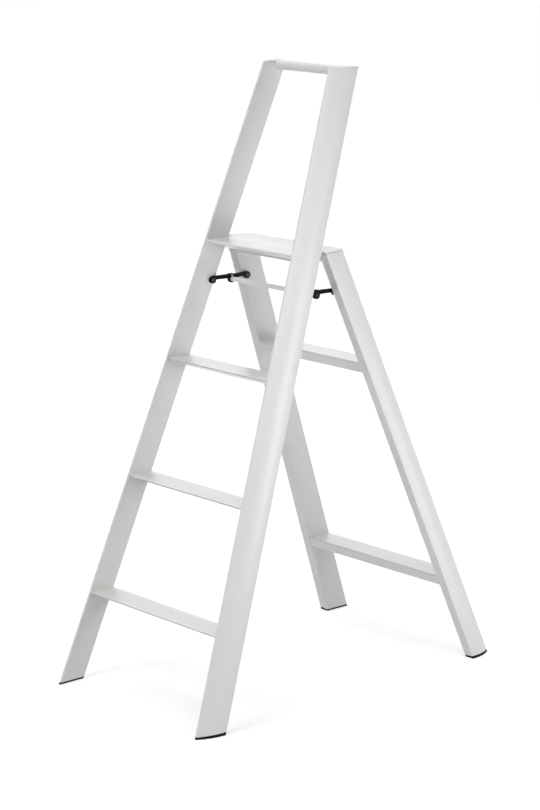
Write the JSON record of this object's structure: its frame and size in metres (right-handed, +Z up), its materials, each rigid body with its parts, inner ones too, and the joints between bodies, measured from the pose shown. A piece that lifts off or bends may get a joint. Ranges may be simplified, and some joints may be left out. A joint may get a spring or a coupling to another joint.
{
  "type": "step ladder",
  "caption": "Folding white step ladder with wing-shaped treads, a platform, a hand rail over it and a lift-to-fold release bar.",
  "frame": {"origin": "floor level, middle of the rectangle that the four feet span", "axes": "+Z up, +Y from the climbing side to the rear, +X to the climber's right"},
  "size_m": [0.5394, 0.927, 1.429],
  "materials": {
    "white_coat": "satin white powder coat",
    "white_plastic": "satin white moulding",
    "black_plastic": "fine grained black moulding",
    "foot_rubber": "matt black rubber",
    "steel": "zinc plated",
    "black_steel": "black oxide",
    "bare_aluminium": "bare die casting"
  },
  "bodies": {
    "front_frame": {"tread_lower": "white_coat", "tread_middle": "white_coat", "tread_upper": "white_coat", "platform_front": "white_coat", "platform_rear": "white_coat", "platform_bolts": "steel", "handle_bar": "white_coat", "front_stile_left": "white_coat", "front_stile_right": "white_coat", "front_foot_left": "foot_rubber", "front_foot_right": "foot_rubber", "stile_cap_left": "white_plastic", "stile_cap_right": "white_plastic", "tread_blocks_left": "bare_aluminium", "tread_blocks_right": "bare_aluminium", "tread_screws_left": "steel", "tread_screws_right": "steel", "hinge_bracket_left": "white_coat", "hinge_bracket_right": "white_coat", "hinge_pin_left": "steel", "hinge_pin_right": "steel", "stay_pad_front_left": "black_plastic", "stay_pad_front_right": "black_plastic", "stay_screw_front_left": "black_steel", "stay_screw_front_right": "black_steel"},
    "rear_frame": {"crossbar_lower": "white_coat", "crossbar_upper": "white_coat", "rear_stile_left": "white_coat", "rear_stile_right": "white_coat", "rear_foot_left": "foot_rubber", "rear_foot_right": "foot_rubber", "hinge_insert_left": "black_plastic", "hinge_insert_right": "black_plastic", "crossbar_blocks_left": "bare_aluminium", "crossbar_blocks_right": "bare_aluminium", "crossbar_screws_left": "steel", "crossbar_screws_right": "steel", "stay_pad_rear_left": "black_plastic", "stay_pad_rear_right": "black_plastic"},
    "release_yoke": {"stay_link_front_left": "black_plastic", "stay_link_front_right": "black_plastic", "knee_screw_left": "black_steel", "knee_screw_right": "black_steel", "stop_screw_left": "steel", "stop_screw_right": "steel", "release_bar": "white_coat", "release_bar_plugs": "bare_aluminium"},
    "stay_rear_left": {"stay_link_rear_left": "black_plastic", "stay_screw_rear_left": "black_steel"},
    "stay_rear_right": {"stay_link_rear_right": "black_plastic", "stay_screw_rear_right": "black_steel"}
  },
  "joints": [
    {"name": "fold", "type": "hinge", "parent": "front_frame", "child": "rear_frame", "pos_m": [0, 0.00268, 1.008], "axis": [-1, 0, 0], "range_deg": [0, 41.5]},
    {"name": "release_bar_lift", "type": "hinge", "parent": "front_frame", "child": "release_yoke", "pos_m": [0, -0.06631, 0.926], "axis": [1, 0, 0], "range_deg": [0, 64.19]},
    {"name": "knee_left", "type": "hinge", "parent": "release_yoke", "child": "stay_rear_left", "pos_m": [-0.14656, -0.01352, 0.9235], "axis": [-1, 0, 0], "range_deg": [0, 138.33]},
    {"name": "knee_right", "type": "hinge", "parent": "release_yoke", "child": "stay_rear_right", "pos_m": [0.14656, -0.01352, 0.9235], "axis": [-1, 0, 0], "range_deg": [0, 138.33]}
  ],
  "couplings": [
    {"joint": "release_bar_lift", "follows": "fold", "ratio": 1.5466},
    {"joint": "knee_left", "follows": "fold", "ratio": 3.3333},
    {"joint": "knee_right", "follows": "fold", "ratio": 3.3333}
  ]
}
